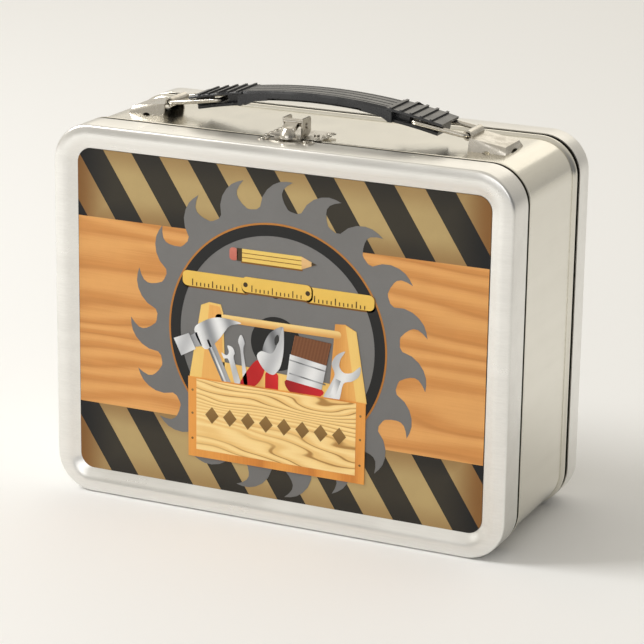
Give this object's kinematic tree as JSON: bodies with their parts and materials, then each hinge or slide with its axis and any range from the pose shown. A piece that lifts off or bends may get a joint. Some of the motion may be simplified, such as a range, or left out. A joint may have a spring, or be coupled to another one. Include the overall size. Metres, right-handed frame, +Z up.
{
  "type": "metal lunch box",
  "caption": "Rounded rectangular steel lunch box with beaded side band, recessed picture panel, bottom-hinged front cover, snap hasp and arched handle on wire bails.",
  "frame": {"origin": "middle of the underside the closed box stands on", "axes": "+X to the right seen from the front, +Y from the picture towards the back, +Z up through the handle"},
  "size_m": [0.222, 0.0954, 0.1903],
  "materials": {
    "tin_cover": "satin, faint brushed grain",
    "tin_band": "satin, brushed along the band",
    "printed_panel": "semi-gloss print of stripes, wood and a saw blade",
    "handle_plastic": "moulded black, semi-gloss",
    "bail_wire": "bright nickel plate",
    "nickel_fittings": "worn nickel plate",
    "rivets": "nickel plate",
    "hinge_steel": "plated steel"
  },
  "bodies": {
    "box": {"body_band": "tin_band", "rear_cover": "tin_cover", "bracket_left": "nickel_fittings", "bracket_right": "nickel_fittings", "latch_base": "nickel_fittings", "latch_base_rivets": "rivets", "latch_pin": "rivets", "hinge_band_leaf_left": "hinge_steel", "hinge_band_leaf_right": "hinge_steel", "hinge_pin_left": "rivets", "hinge_pin_right": "rivets", "hinge_band_rivets": "rivets"},
    "lid": {"front_cover": "tin_cover", "front_picture_panel": "printed_panel", "keeper_plate": "nickel_fittings", "keeper_knob": "rivets", "keeper_rivets": "rivets", "hinge_cover_leaf_left": "hinge_steel", "hinge_cover_leaf_right": "hinge_steel", "hinge_cover_rivets": "rivets"},
    "handle": {"handle_grip": "handle_plastic"},
    "left_bail": {"bail_left": "bail_wire"},
    "right_bail": {"bail_right": "bail_wire"},
    "hasp": {"latch_hasp": "nickel_fittings"}
  },
  "joints": [
    {"name": "lid_open", "type": "hinge", "parent": "box", "child": "lid", "pos_m": [0, -0.0307, 0.001], "axis": [1, 0, 0], "range_deg": [0, 100]},
    {"name": "latch_swing", "type": "hinge", "parent": "box", "child": "hasp", "pos_m": [-0.001, -0.0238, 0.1793], "axis": [-1, 0, 0], "range_deg": [0, 110]},
    {"name": "handle_lift", "type": "slide", "parent": "box", "child": "handle", "axis": [0, 0, 1], "range_m": [0, 0.015]},
    {"name": "bail_right_swing", "type": "hinge", "parent": "box", "child": "right_bail", "pos_m": [0.073, 0, 0.1789], "axis": [0, 1, 0], "range_deg": [0, 35]},
    {"name": "bail_left_swing", "type": "hinge", "parent": "box", "child": "left_bail", "pos_m": [-0.073, 0, 0.1789], "axis": [0, -1, 0], "range_deg": [0, 35]}
  ],
  "couplings": [
    {"joint": "bail_right_swing", "follows": "handle_lift", "rad_per_m": 40},
    {"joint": "bail_left_swing", "follows": "handle_lift", "rad_per_m": 40}
  ]
}
